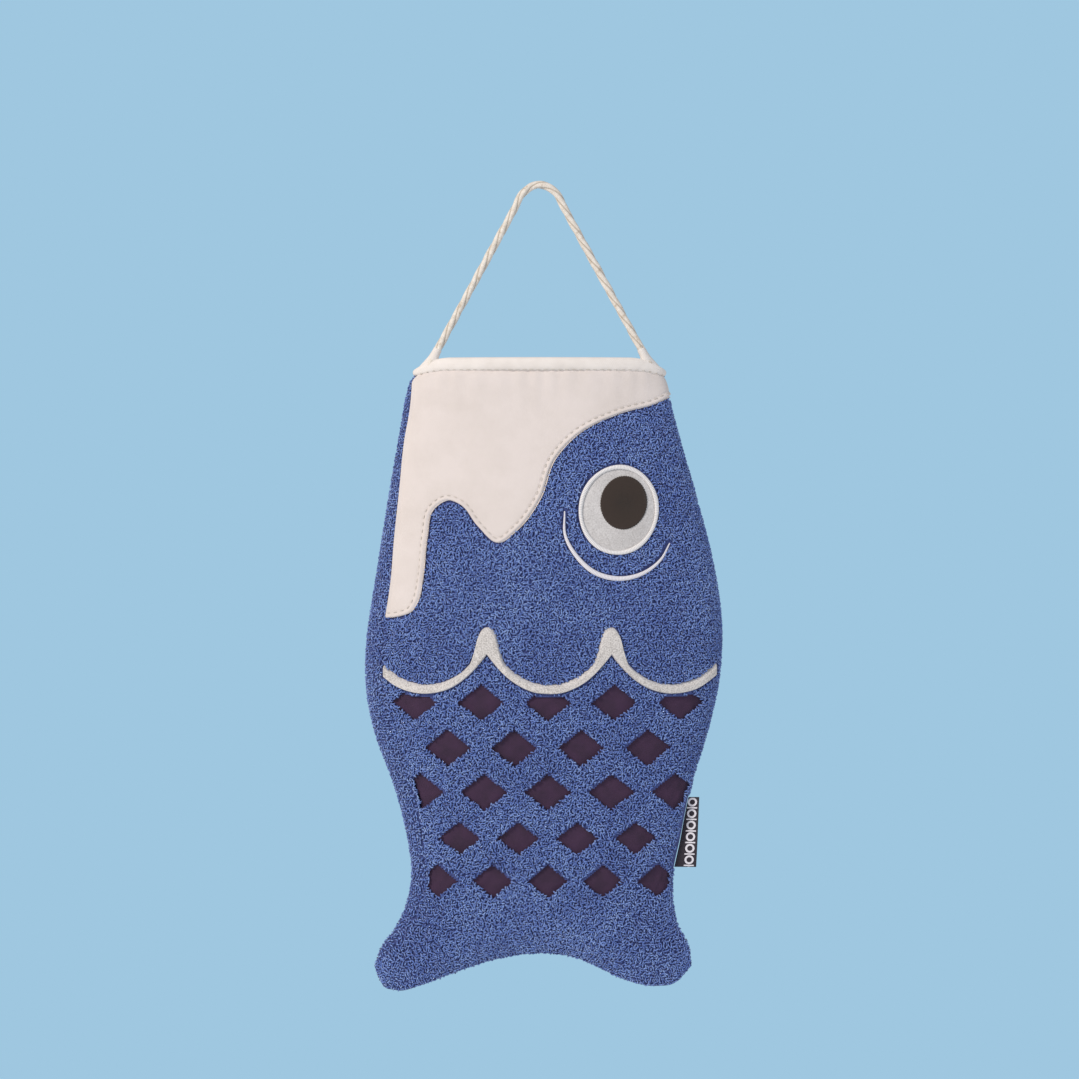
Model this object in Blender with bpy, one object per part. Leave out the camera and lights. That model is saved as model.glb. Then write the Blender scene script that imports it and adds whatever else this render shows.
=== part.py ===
"""Carp streamer: a sewn terry-towelling fish that hangs head up from a loop of cotton cord.

Metres, +Z up, +X to the right, the face looks along -Y. The origin is where the cord loop
hangs on a peg. The cord's ends leave the front of the mouth hem, so the fish sits behind them.
"""

import math

import bpy
import numpy as np
from mathutils import Vector

MM = 0.001

# Driving dimensions of the sewn fish
mouth_half = 55.6 * MM
belly_half = 78.2 * MM
neck_half = 58.2 * MM
tail_half = 69.7 * MM
body_length = 263.4 * MM
mouth_half_depth = 11.0 * MM
belly_half_depth = 20.0 * MM
neck_half_depth = 10.5 * MM
tail_half_depth = 7.5 * MM
shoulder_drop = 5.0 * MM
seam_roll = 6.9 * MM
terry_thickness = 3.0 * MM
gap = 0.3 * MM

# Hem, hoop and cord
hem_height = 5.2 * MM
hem_thickness = 4.6 * MM
hem_wall = 0.9 * MM
hoop_radius = 0.8 * MM
cord_radius = 1.75 * MM
cord_inset = 9.0 * MM
loop_height = 67.0 * MM
hinge_above_hem = 5.5 * MM
peg_wrap_radius = 8.8 * MM
tent_height = 3.4 * MM
tent_radius = 3.6 * MM
thread_radius = 0.25 * MM

# The face is drawn for a fish of this size and stretches with the fish that is sewn
drawn_half = 78.2 * MM
drawn_length = 263.4 * MM
drawn_top = -72.5 * MM

# Pieces laid into the terry
inlay_thickness = 1.3 * MM
inlay_depth = inlay_thickness + gap
eye_place = (34.5 * MM, -133.8 * MM)
eye_half = (17.6 * MM, 19.8 * MM)
pupil_offset = (2.2 * MM, 3.1 * MM)
pupil_half = (10.2 * MM, 11.7 * MM)
eye_tilt = math.radians(8)
smile_width = 1.7 * MM
stitch_inset = 2.2 * MM
stitch_start = -60.0 * MM
stitch_short = 3.6 * MM

# Gill band: scallops of one pitch, its lower edge and its pointed upper edge
gill_spacing = 54.4 * MM
gill_place = (4.2 * MM, -214.3 * MM)
gill_rise = 17.3 * MM
gill_width = 4.1 * MM
gill_peak = 25.0 * MM

# Windows through the terry: for each row, count, pitch, half-width, half-height, height
window_rows = (
    (5, 29.2, 10.3, 8.2, -218.7),
    (4, 29.5, 10.3, 8.4, -238.5),
    (5, 28.9, 10.3, 7.9, -258.7),
    (4, 25.8, 8.9, 6.9, -279.0),
    (5, 24.2, 8.5, 6.6, -297.0),
)
window_centre = 3.6 * MM
window_margin = 3.2 * MM
scale_cloth_thickness = 1.0 * MM

# Side label, sewn into the right seam
label_place = -260.0 * MM
label_length = 30.6 * MM
label_reach = 8.0 * MM
label_reach_top = 4.4 * MM
label_thickness = 0.9 * MM

cord_exit = mouth_half - cord_inset
hem_top = -loop_height
panel_top = hem_top - hem_height - gap
hem_depth = terry_thickness / 2
exit_share = cord_exit / (mouth_half - hem_depth)
setback = (mouth_half_depth - hem_depth) * math.sqrt(1 - exit_share**2)
around = 44
closing_from = 0.955
broader = belly_half / drawn_half
longer = body_length / drawn_length


def drawn(x, z):
    """A point of the face's drawing, where it comes on the fish as it is sized."""
    return x * broader, panel_top + (z - drawn_top) * longer


eye_centre = drawn(*eye_place)
pupil_centre = (eye_centre[0] + pupil_offset[0], eye_centre[1] + pupil_offset[1])
gill_pitch = gill_spacing * broader
gill_centre, gill_bottom = drawn(*gill_place)
label_top = drawn(0, label_place)[1]
label_bottom = label_top - label_length


def mix(a, b, share):
    return a + (b - a) * share


def smooth(points, at):
    """Cubic curve through (place, value) points, each slope taken from its neighbours."""
    place, value = np.array(points, float).T
    slope = np.gradient(value, place)
    k = np.clip(np.searchsorted(place, at) - 1, 0, len(place) - 2)
    step = place[k + 1] - place[k]
    u = np.clip((at - place[k]) / step, 0, 1)
    rise = value[k] * (1 + 2 * u) * (1 - u) ** 2 + value[k + 1] * u**2 * (3 - 2 * u)
    return rise + step * (slope[k] * u * (1 - u) ** 2 + slope[k + 1] * u**2 * (u - 1))


def smooth_path(route, spacing):
    """Points at even spacing along a smooth curve through a route's points."""
    route = np.array(route, float)
    along = np.concatenate([[0], np.cumsum(np.linalg.norm(np.diff(route, axis=0), axis=1))])
    at = np.linspace(0, along[-1], max(2, round(along[-1] / spacing)) + 1)
    columns = [smooth(np.stack([along, column], axis=1), at) for column in route.T]
    return np.stack(columns, axis=1)


def half_width(v):
    """Half-width of the fish at share v of its length: mouth, belly, narrow neck, tail fins."""
    return smooth(
        [
            (0, mouth_half),
            (0.086, mix(mouth_half, belly_half, 0.22)),
            (0.207, mix(mouth_half, belly_half, 0.55)),
            (0.325, mix(mouth_half, belly_half, 0.82)),
            (0.446, belly_half),
            (0.526, mix(belly_half, neck_half, 0.03)),
            (0.606, mix(belly_half, neck_half, 0.25)),
            (0.685, mix(belly_half, neck_half, 0.59)),
            (0.769, mix(belly_half, neck_half, 0.85)),
            (0.864, neck_half),
            (0.928, mix(neck_half, tail_half, 0.33)),
            (0.966, mix(neck_half, tail_half, 0.81)),
            (1, tail_half),
        ],
        v,
    )


def half_depth(v):
    return smooth(
        [
            (0, mouth_half_depth),
            (0.2, mix(mouth_half_depth, belly_half_depth, 0.6)),
            (0.45, belly_half_depth),
            (0.7, mix(belly_half_depth, neck_half_depth, 0.6)),
            (0.864, neck_half_depth),
            (1, tail_half_depth),
        ],
        v,
    )


def centre_line(v):
    """The fish hangs a little askew, as sewn cloth does."""
    askew = [(0, 0), (0.2, 1.0), (0.33, 2.4), (0.6, 0.3), (0.8, 1.5), (1, -3.2)]
    return smooth(askew, v) * MM


def tail_edge(across):
    """Height of the tail's edge: two rounded fins with an arch between them."""
    fins = [
        (-1, 0),
        (-0.87, -9),
        (-0.7, -6.7),
        (-0.54, -2.7),
        (-0.27, 3.7),
        (0.03, 7),
        (0.27, 5),
        (0.41, 0.9),
        (0.54, -3.6),
        (0.78, -7.4),
        (0.9, -5.8),
        (1, 1.5),
    ]
    return smooth(fins, across) * MM


def seam_angle(v):
    """Angle at which the left seam lies: it has rolled towards the face."""
    roll = smooth([(0, 0.19), (0.35, 0.93), (0.47, 1), (0.8, 0.85), (0.93, 0.4), (1, 0)], v)
    return np.arccos(1 - roll * seam_roll / half_width(v))


def surface(angle, v, depth):
    """Point of the fish's skin, depth inwards from its outside.

    Angle 0 is the left side, pi/2 the middle of the face, pi the right side and -pi/2 the back.
    """
    closing = np.sqrt(1 - np.clip((v - closing_from) / (1 - closing_from), 0, 1) ** 2)
    share = -np.cos(angle)
    x = centre_line(v) + (half_width(v) - depth) * share
    y = setback - (half_depth(v) - depth) * closing * np.sin(angle)
    arch = tail_edge(share) * np.clip((v - 0.7) / 0.3, 0, 1) ** 2
    corner = np.clip((np.abs(share) - 0.72) / 0.28, 0, 1) ** 2
    shoulder = shoulder_drop * corner * np.clip(1 - v / 0.09, 0, 1) ** 2
    z = panel_top - v * (body_length - depth) + arch - shoulder
    return np.stack([x, y, z], axis=-1)


def hem_ring(angle, depth, height):
    """Point of the hem's family of rings, height above the hem's own top."""
    at_mouth = surface(angle, np.zeros_like(angle), depth)
    return at_mouth + np.array([0, 0, hem_height + gap + height])


def new_object(name, points, faces, material=None):
    mesh = bpy.data.meshes.new(name)
    mesh.from_pydata([tuple(p) for p in points], [], faces)
    mesh.update()
    made = bpy.data.objects.new(name, mesh)
    bpy.context.scene.collection.objects.link(made)
    if material:
        mesh.materials.append(material)
    return made


def new_material(name, colour, roughness):
    """Principled surface with an sRGB colour from 0 to 255."""
    made = bpy.data.materials.new(name)
    made.use_nodes = True
    principled = made.node_tree.nodes["Principled BSDF"]
    linear = [((c / 255 + 0.055) / 1.055) ** 2.4 for c in colour]
    principled.inputs["Base Color"].default_value = (*linear, 1)
    principled.inputs["Roughness"].default_value = roughness
    made.diffuse_color = (*linear, 1)
    return made


def as_cutter(made):
    made.hide_render = True
    made.display_type = "WIRE"
    return made


def cut(made, operation, other):
    modifier = made.modifiers.new(operation.title(), "BOOLEAN")
    modifier.operation = operation
    modifier.object = other
    modifier.solver = "EXACT"


def rows_between(low, high, count):
    """Shares along the fish, with more rows where the tail rounds over to its edge."""
    if high < 1:
        return np.linspace(low, high, count)
    rounding = np.sin(np.linspace(0, math.pi / 2, 5))[1:]
    return np.append(np.linspace(low, closing_from, count), closing_from + (1 - closing_from) * rounding)


def skin(name, depths, angles, rows, shift, material=None, count=20):
    """Closed solid between two depths of the skin, from one angle to another in every row."""
    share = np.linspace(0, 1, count + 1)
    first, last = angles
    turn = first(rows)[:, None] + (last(rows) - first(rows))[:, None] * share
    along = np.repeat(rows[:, None], count + 1, axis=1)
    sheets = [surface(turn, along, depth) + np.array([0, shift, 0]) for depth in depths]
    points = np.concatenate([sheet.reshape(-1, 3) for sheet in sheets])
    wide, size = count + 1, len(rows) * (count + 1)
    faces = []
    for i in range(len(rows) - 1):
        for j in range(count):
            a = i * wide + j
            faces.append((a, a + wide, a + wide + 1, a + 1))
            faces.append((a + size, a + size + 1, a + size + wide + 1, a + size + wide))
    top = list(range(wide))
    bottom = [(len(rows) - 1) * wide + j for j in range(wide)]
    left = [i * wide for i in range(len(rows))]
    right = [i * wide + count for i in range(len(rows))]
    for edge, flip in ((top, False), (bottom, True), (left, True), (right, False)):
        for a, b in zip(edge[:-1], edge[1:], strict=True):
            wall = (a, b, b + size, a + size)
            faces.append(wall[::-1] if flip else wall)
    return new_object(name, points, faces, material)


def prism_of(outline, y_from, y_to):
    """Points and faces of an outline in XZ, counter-clockwise from the front, run along Y."""
    n = len(outline)
    points = [(x, y_from, z) for x, z in outline] + [(x, y_to, z) for x, z in outline]
    faces = [tuple(range(n)), tuple(reversed(range(n, 2 * n)))]
    faces += [(i, i + n, (i + 1) % n + n, (i + 1) % n) for i in range(n)]
    return points, faces


def prisms(name, outlines):
    """One cutter holding a prism for each outline, from before the face to the fish's middle."""
    points, faces = [], []
    for outline in outlines:
        more, sides = prism_of(outline, -2 * belly_half_depth, setback - 0.5 * gap)
        faces += [tuple(i + len(points) for i in side) for side in sides]
        points += more
    return as_cutter(new_object(name, points, faces))


def grown(outline, by):
    """The outline moved outwards by a distance, each point along its own normal."""
    outline = np.array(outline, float)
    ahead = np.roll(outline, -1, axis=0) - outline
    ahead /= np.linalg.norm(ahead, axis=1)[:, None]
    behind = np.roll(ahead, 1, axis=0)
    normal = np.stack([ahead[:, 1] + behind[:, 1], -ahead[:, 0] - behind[:, 0]], axis=1)
    normal /= np.maximum(1 + (ahead * behind).sum(axis=1), 0.5)[:, None]
    return outline + by * normal


def ellipse(centre, half, tilt, count=32):
    turn = np.linspace(0, 2 * math.pi, count, endpoint=False)
    x, z = half[0] * np.cos(turn), half[1] * np.sin(turn)
    c, s = math.cos(tilt), math.sin(tilt)
    return np.stack([centre[0] + c * x + s * z, centre[1] - s * x + c * z], axis=1)


def on_fish(route):
    """A drawn route in millimetres, in metres on the fish as it is sized."""
    x, z = np.array(route, float).T * MM
    return np.stack(drawn(x, z), axis=1)


def drip_edge():
    """The head panel's lower edge: a cheek lobe at the left, a drip, then up under the eye."""
    route = [
        (-80, -180.4),
        (-61, -180),
        (-54.1, -173.8),
        (-50.4, -161),
        (-49, -144),
        (-46.6, -133.8),
        (-40, -129.8),
        (-34.8, -131.8),
        (-27.3, -141.2),
        (-18.5, -148.5),
        (-10, -142.8),
        (0, -129.4),
        (6.6, -111.8),
        (15.8, -101.6),
        (34.8, -92),
        (51.5, -87.1),
        (58, -83.6),
        (66, -80),
    ]
    return smooth_path(on_fish(route), 4 * MM)


def head_outline():
    edge = drip_edge()
    above = panel_top + hem_height
    return np.concatenate([edge, [(edge[-1][0], above), (edge[0][0], above)]])


def smile_outline():
    """A thin crescent: widest at the bottom of the smile, tapering to both ends."""
    route = [
        (10.9, -134.4),
        (11.2, -145),
        (15.8, -153.6),
        (24.3, -161.2),
        (34.8, -163.7),
        (45, -161.4),
        (53, -155.2),
        (56.8, -148.3),
    ]
    middle = smooth_path(on_fish(route), 3.5 * MM)
    ahead = np.gradient(middle, axis=0)
    side = np.stack([ahead[:, 1], -ahead[:, 0]], axis=1) / np.linalg.norm(ahead, axis=1)[:, None]
    taper = 0.35 + 0.65 * np.sin(np.linspace(0, math.pi, len(middle)))[:, None]
    wide = smile_width / 2 * taper * side
    return np.concatenate([middle + wide, (middle - wide)[::-1]])


def gill_edges(x):
    """Heights of the gill band's lower and upper edges: three scallops with peaks between."""
    place = (x - gill_centre) / gill_pitch
    share = 2 * np.abs(place - np.round(place))
    lower = gill_bottom + gill_rise * share**2.55
    upper = gill_bottom + gill_width + gill_peak * np.minimum(share / 0.93, 1) ** 4.5
    return lower, upper


def gill_outline():
    x = np.linspace(-1.5 * gill_pitch, 1.5 * gill_pitch, 61) + gill_centre
    lower, upper = gill_edges(x)
    return np.concatenate([np.stack([x, lower], axis=1), np.stack([x, upper], axis=1)[::-1]])


def window_outlines():
    outlines = []
    for count, pitch, half, tall, height in window_rows:
        for i in range(count):
            x, z = drawn(window_centre + (i - (count - 1) / 2) * pitch * MM, height * MM)
            corners = [(x - half * MM, z), (x, z - tall * MM), (x + half * MM, z), (x, z + tall * MM)]
            outlines.append(corners)
    return outlines


def window_field():
    """Where windows may open: inside both seams, below the gill band."""
    v = np.linspace(0.5, 0.93, 12)
    z = panel_top - v * body_length
    left = surface(seam_angle(v), v, 0)[:, 0] + window_margin
    right = centre_line(v) + half_width(v) - window_margin
    x = np.linspace(right[0], left[0], 45)
    top = gill_edges(x)[0] - window_margin / 2
    sides = [np.stack([left, z], axis=1), np.stack([right, z], axis=1)[::-1]]
    keep = [side[side[:, 1] < gill_bottom - window_margin] for side in sides]
    return np.concatenate([keep[0], keep[1], np.stack([x, top], axis=1)])


def front_seams():
    """Angles of the front panel's two seams, each held back by half the sewing gap."""

    def left(v):
        return seam_angle(v) + 0.5 * gap / half_width(v)

    def right(v):
        return np.full_like(v, math.pi)

    return left, right


def back_seams():
    def left(v):
        return seam_angle(v) - 0.5 * gap / half_width(v)

    def right(v):
        return np.full_like(v, -math.pi)

    return right, left


def make_panels(terry):
    """The two terry panels, sewn at the sides and along the tail, 0.3 mm apart at the seams."""
    rows = rows_between(0, 1, 24)
    front = skin("front_panel", (0, terry_thickness), front_seams(), rows, -0.5 * gap, terry)
    back = skin("back_panel", (0, terry_thickness), back_seams(), rows, 0.5 * gap, terry)
    inlays = [
        grown(head_outline(), gap),
        grown(ellipse(eye_centre, eye_half, eye_tilt), gap),
        grown(smile_outline(), gap),
        grown(gill_outline(), gap),
    ]
    seams = front_seams()
    wide = (lambda v: seams[0](v) - 0.1, lambda v: seams[1](v) + 0.1)
    groove = as_cutter(skin("groove_cutter", (-2 * MM, inlay_depth), wide, rows_over(), 0))
    cut(groove, "INTERSECT", prisms("inlay_prisms", inlays))
    windows = prisms("window_cutter", window_outlines())
    cut(windows, "INTERSECT", prisms("window_field_prism", [window_field()]))
    cut(front, "DIFFERENCE", groove)
    cut(front, "DIFFERENCE", windows)
    return front, back


def rows_over():
    """Rows that run a little past the mouth, for cutters."""
    return np.append(-0.02, rows_between(0, 1, 24))


def make_inlays(white, thread, dark):
    """The pieces laid into the terry's face, each flush with it."""
    depths, seams, rows = (0, inlay_thickness), front_seams(), np.linspace(0, 0.7, 22)
    eye = ellipse(eye_centre, eye_half, eye_tilt)
    pupil = ellipse(pupil_centre, pupil_half, eye_tilt, 28)
    flat = {
        "head_panel": (head_outline(), white),
        "eye_white": (eye, white),
        "eye_pupil": (pupil, dark),
        "smile_line": (smile_outline(), thread),
        "gill_band": (gill_outline(), white),
    }
    for name, (outline, material) in flat.items():
        made = skin(name, depths, seams, rows, -0.5 * gap, material)
        cut(made, "INTERSECT", prisms(name + "_prism", [outline]))
        if name == "eye_white":
            cut(made, "DIFFERENCE", prisms("pupil_hole", [grown(pupil, gap)]))


def make_scale_cloth(material):
    """One dark cloth behind the terry, seen through the windows."""
    depths = (terry_thickness + gap, terry_thickness + gap + scale_cloth_thickness)
    left, right = front_seams()
    inside = (lambda v: left(v) + 0.03, lambda v: right(v) - 0.06)
    skin("scale_cloth", depths, inside, np.linspace(0.5, 0.905, 11), -0.5 * gap, material, 14)


def ring(name, section, material):
    """Closed band round the mouth from a section of (depth, height) points."""
    turn = np.linspace(0, 2 * math.pi, around, endpoint=False)
    loops = [hem_ring(turn, np.full_like(turn, d), h) for d, h in section]
    points = np.stack(loops, axis=1).reshape(-1, 3)
    n, faces = len(section), []
    for i in range(around):
        for j in range(n):
            a, b = i * n + j, (i + 1) % around * n + j
            c, d = (i + 1) % around * n + (j + 1) % n, i * n + (j + 1) % n
            faces.append((a, b, c, d))
    return new_object(name, points, faces, material)


def round_section(depth, height, radius, sides=6):
    turn = np.linspace(0, 2 * math.pi, sides, endpoint=False)
    return [(depth - radius * math.cos(t), height + radius * math.sin(t)) for t in turn]


def make_hem(white, wire, thread):
    """A folded hem round the mouth, open below, with the hoop in its channel."""
    half, wall = hem_thickness / 2, hem_wall
    corner = 1.6 * MM
    arc = [(math.cos(t), math.sin(t)) for t in np.linspace(0, math.pi, 7)]
    outside = [(hem_depth - (half - corner) * np.sign(c) - corner * c, corner * (s - 1)) for c, s in arc]
    inner = half - wall
    channel = [(hem_depth + inner, -hem_height), (hem_depth + inner, -wall - 0.5 * MM)]
    channel += [(hem_depth + inner / 2, -wall), (hem_depth - inner / 2, -wall)]
    channel += [(hem_depth - inner, -wall - 0.5 * MM), (hem_depth - inner, -hem_height)]
    section = [(hem_depth - half, -hem_height), *outside, (hem_depth + half, -hem_height), *channel]
    hem = ring("mouth_hem", section, white)
    open_below = [(d, min(h, -hem_height - MM) if h == -hem_height else h) for d, h in channel]
    as_cutter(ring("channel_cutter", open_below[::-1], None))
    hoop_height = -hem_wall - 1.3 * MM
    ring("mouth_hoop", round_section(hem_depth, hoop_height, hoop_radius), wire)
    beside = hem_depth - half - gap - thread_radius
    ring("hem_thread", round_section(beside, -0.82 * hem_height, thread_radius, 5), thread)
    return hem, hem_top + hoop_height + hoop_radius


def leg_direction():
    """Unit vector up the right leg of the loop, from the hem to where it meets the peg."""
    foot = Vector((cord_exit, 0, hem_top))
    reach = foot.length
    lean = math.atan2(cord_exit, loop_height) - math.asin(peg_wrap_radius / reach)
    return Vector((-math.sin(lean), 0, math.cos(lean))), lean


def turned_rod(name, start, end, profile, material=None, sides=16):
    """Solid of revolution from a profile of (share along, radius), poles closed by a point."""
    axis = (end - start).normalized()
    turn = axis.to_track_quat("Z", "Y")
    length = (end - start).length
    points = [start]
    for share, radius in profile:
        for i in range(sides):
            angle = 2 * math.pi * i / sides
            local = Vector((radius * math.cos(angle), radius * math.sin(angle), share * length))
            points.append(start + turn @ local)
    points.append(end)
    last = len(points) - 1
    faces = [(0, 1 + (i + 1) % sides, 1 + i) for i in range(sides)]
    for k in range(len(profile) - 1):
        for i in range(sides):
            a, b = 1 + k * sides + i, 1 + k * sides + (i + 1) % sides
            faces.append((a, b, b + sides, a + sides))
    top = 1 + (len(profile) - 1) * sides
    faces += [(top + i, top + (i + 1) % sides, last) for i in range(sides)]
    return new_object(name, points, faces, material)


def make_cord(cotton, hem, hoop_top):
    """The hanging loop, and the two cord ends that stay with the hem when it swings."""
    direction, lean = leg_direction()
    hinge_height = hem_top + hinge_above_hem
    slope = -math.tan(lean)
    hinge_x = cord_exit + hinge_above_hem * slope
    clear = cord_radius + gap
    for side, name in ((-1, "cord_end_left"), (1, "cord_end_right")):
        mirror = Vector((side, 1, 1))
        hinge = Vector((hinge_x, 0, hinge_height)) * mirror
        along = direction * mirror
        foot_height = hoop_top + gap + cord_radius * math.sin(lean)
        length = (hinge_height - foot_height) / math.cos(lean)
        foot, crown = hinge - along * length, hinge + along * cord_radius
        whole = length + cord_radius
        turns = np.linspace(0, 1.4, 5)
        dome = [(length + cord_radius * math.sin(t), cord_radius * math.cos(t)) for t in turns]
        profile = [(0, cord_radius), *((reach / whole, radius) for reach, radius in dome)]
        turned_rod(name, foot, crown, profile, cotton)
        base = Vector((cord_exit, 0, hem_top - hem_wall)) * mirror
        tip = base + along * (tent_height + hem_wall)
        tent = [(0, 0.7 * tent_radius), (0.2, tent_radius), (1, cord_radius + gap + hem_wall)]
        cut(hem, "UNION", as_cutter(turned_rod("tent_" + name, base, tip, tent)))
        hole = [(0, clear), (1, clear)]
        past = tip + along * 2 * MM
        bore = turned_rod("bore_" + name, foot - along * gap, past, hole)
        cut(hem, "DIFFERENCE", as_cutter(bore))
    cut(hem, "DIFFERENCE", bpy.data.objects["channel_cutter"])
    end = Vector((hinge_x, 0, hinge_height)) + direction * clear
    meet = Vector((peg_wrap_radius * math.cos(lean), 0, peg_wrap_radius * math.sin(lean)))
    leg = [end.lerp(meet, share) for share in (0, 0.33, 0.66, 0.9)]
    wrap = [Vector((peg_wrap_radius * math.sin(t), 0, peg_wrap_radius * math.cos(t))) for t in (0.9, 0.45)]
    right = [(p.x, p.z) for p in leg + wrap]
    route = [(-x, z) for x, z in right] + [(0, peg_wrap_radius)] + right[::-1]
    path = smooth_path(route, 4 * MM)
    curve = bpy.data.curves.new("hanging_cord", "CURVE")
    curve.dimensions = "3D"
    curve.bevel_depth = cord_radius
    curve.bevel_resolution = 2
    curve.use_fill_caps = True
    line = curve.splines.new("POLY")
    line.points.add(len(path) - 1)
    for point, (x, z) in zip(line.points, path, strict=True):
        point.co = (x, 0, z, 1)
    curve.materials.append(cotton)
    made = bpy.data.objects.new("hanging_cord", curve)
    bpy.context.scene.collection.objects.link(made)


def make_label(woven):
    """A folded label standing out of the right seam; its origin lies on the seam."""
    edge = []
    for z in (label_top, label_bottom):
        v = np.array((panel_top - z) / body_length)
        edge.append((float(centre_line(v) + half_width(v)) + 2 * gap, z))
    (x_top, z_top), (x_low, z_low) = edge
    outline = [(x_low, z_low), (x_low + label_reach, z_low - MM), (x_top + label_reach_top, z_top - MM)]
    outline += [(x_top, z_top)]
    points, faces = prism_of(outline, -label_thickness / 2, label_thickness / 2)
    root = Vector(((x_top + x_low) / 2, setback, (z_top + z_low) / 2))
    local = [Vector(p) - Vector((root.x, 0, root.z)) for p in points]
    made = new_object("side_label", local, faces, woven)
    made.location = root


def make_head_thread(thread):
    """Sewing thread lying on the head panel, just inside its lower edge."""
    edge = drip_edge()
    keep = (edge[:, 0] > stitch_start) & (edge[:, 0] < mouth_half - stitch_short)
    ahead = np.gradient(edge, axis=0)
    up = np.stack([-ahead[:, 1], ahead[:, 0]], axis=1) / np.linalg.norm(ahead, axis=1)[:, None]
    line = (edge + stitch_inset * up)[keep]
    depth = -gap - thread_radius
    v = (panel_top - line[:, 1]) / (body_length - depth)
    angle = np.arccos((centre_line(v) - line[:, 0]) / (half_width(v) - depth))
    path = surface(angle, v, depth) + np.array([0, -0.5 * gap, 0])
    curve = bpy.data.curves.new("head_thread", "CURVE")
    curve.dimensions = "3D"
    curve.bevel_depth = thread_radius
    curve.bevel_resolution = 1
    curve.use_fill_caps = True
    spline = curve.splines.new("POLY")
    spline.points.add(len(path) - 1)
    for point, place in zip(spline.points, path, strict=True):
        point.co = (*place, 1)
    curve.materials.append(thread)
    made = bpy.data.objects.new("head_thread", curve)
    bpy.context.scene.collection.objects.link(made)


def hang_from_axis():
    """Parents everything but the loop to an empty on the axis that the fish swings about."""
    axis = bpy.data.objects.new("streamer_swing_axis", None)
    axis.location = (0, 0, hem_top + hinge_above_hem)
    bpy.context.scene.collection.objects.link(axis)
    bpy.context.view_layer.update()
    for piece in list(bpy.data.objects):
        if piece is not axis and piece.name != "hanging_cord" and not piece.hide_render:
            piece.parent = axis
            piece.matrix_parent_inverse = axis.matrix_world.inverted()


def main():
    for old in list(bpy.data.objects):
        bpy.data.objects.remove(old)
    terry = new_material("blue_terry", (78, 95, 144), 0.95)
    white = new_material("white_cotton", (228, 217, 212), 0.8)
    dark = new_material("dark_brown_cloth", (63, 53, 47), 0.8)
    aubergine = new_material("aubergine_cloth", (63, 46, 68), 0.85)
    thread = new_material("grey_thread", (196, 193, 200), 0.6)
    wire = new_material("hoop_wire", (150, 150, 150), 0.35)
    cotton = new_material("cord_cotton", (226, 216, 205), 0.85)
    make_panels(terry)
    make_inlays(white, thread, dark)
    make_scale_cloth(aubergine)
    hem, hoop_top = make_hem(white, wire, thread)
    make_cord(cotton, hem, hoop_top)
    make_label(aubergine)
    make_head_thread(thread)
    hang_from_axis()


main()
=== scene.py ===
"""Carp streamer: looped terry, a smooth white head, a stitched eye and a twisted cord."""

import math

import bpy
import numpy as np
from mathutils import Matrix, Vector


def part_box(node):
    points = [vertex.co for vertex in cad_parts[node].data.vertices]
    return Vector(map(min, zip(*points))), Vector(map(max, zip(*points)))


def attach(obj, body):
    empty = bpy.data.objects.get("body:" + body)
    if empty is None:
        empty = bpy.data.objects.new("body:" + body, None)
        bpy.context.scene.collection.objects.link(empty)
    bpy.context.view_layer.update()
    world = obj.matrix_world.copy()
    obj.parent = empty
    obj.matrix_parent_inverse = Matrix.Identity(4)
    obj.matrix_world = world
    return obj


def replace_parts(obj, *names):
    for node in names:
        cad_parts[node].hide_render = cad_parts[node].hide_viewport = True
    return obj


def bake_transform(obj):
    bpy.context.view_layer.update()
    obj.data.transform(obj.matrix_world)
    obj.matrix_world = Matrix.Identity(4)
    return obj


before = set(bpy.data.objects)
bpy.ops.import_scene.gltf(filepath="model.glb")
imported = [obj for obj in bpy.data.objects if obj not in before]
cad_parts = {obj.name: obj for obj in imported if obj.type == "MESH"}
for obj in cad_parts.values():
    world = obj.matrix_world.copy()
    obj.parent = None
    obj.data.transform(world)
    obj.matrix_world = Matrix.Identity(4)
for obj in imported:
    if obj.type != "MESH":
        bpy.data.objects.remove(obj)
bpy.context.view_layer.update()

MM = 0.001

# Sizes of the sewn fish, as its frame has them
mouth_half = 55.6 * MM
belly_half = 79.2 * MM
neck_half = 58.9 * MM
tail_half = 71.3 * MM
body_length = 264.8 * MM
mouth_half_depth = 11.0 * MM
belly_half_depth = 20.0 * MM
neck_half_depth = 10.5 * MM
tail_half_depth = 7.5 * MM
shoulder_drop = 2.0 * MM
seam_roll = 7.8 * MM
seam_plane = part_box("front_panel")[1][1] + 0.15 * MM
panel_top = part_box("front_panel")[1][2]
closing_from = 0.93
under_hem = -0.004

# Terry: loops of soft yarn woven into a thin ground cloth
ground_depth = 1.6 * MM
loop_pitch = 1.03 * MM
loop_height = 1.1 * MM
loop_width = 0.9 * MM
yarn_radius = 0.35 * MM
loop_tip = 0.8 * MM
front_bands, back_bands = 5, 6
back_spread = 1.2

# Bare ground: how far loops keep from what lies on the terry or is cut in it
bare_by_head = 0.7 * MM
bare_by_eye = 0.6 * MM
bare_by_smile = 1.25 * MM
bare_by_band = 0.6 * MM
bare_past_band = 0.4 * MM
bare_by_window = 0.55 * MM
bare_by_label = 2.8 * MM

# Hem, cord and stitches
hem_height = 5.2 * MM
hem_half = 2.1 * MM
hem_depth = 1.5 * MM
hoop_radius = 0.8 * MM
cord_radius = 1.75 * MM
cord_exit = 46.6 * MM
cord_foot = 4.2 * MM
cord_foot_back = 0.9 * MM
cord_lay = 9.5 * MM
sleeve_height = 9.4 * MM
sleeve_cloth = 0.12 * MM
sleeve_flare, most_flare = 1.2 * MM, 4.2 * MM
hem_top = panel_top + hem_height + 0.3 * MM
peg_wrap_radius = 8.8 * MM
stitch_inset = 2.3 * MM
stitch_pitch = 3.1 * MM

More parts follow.
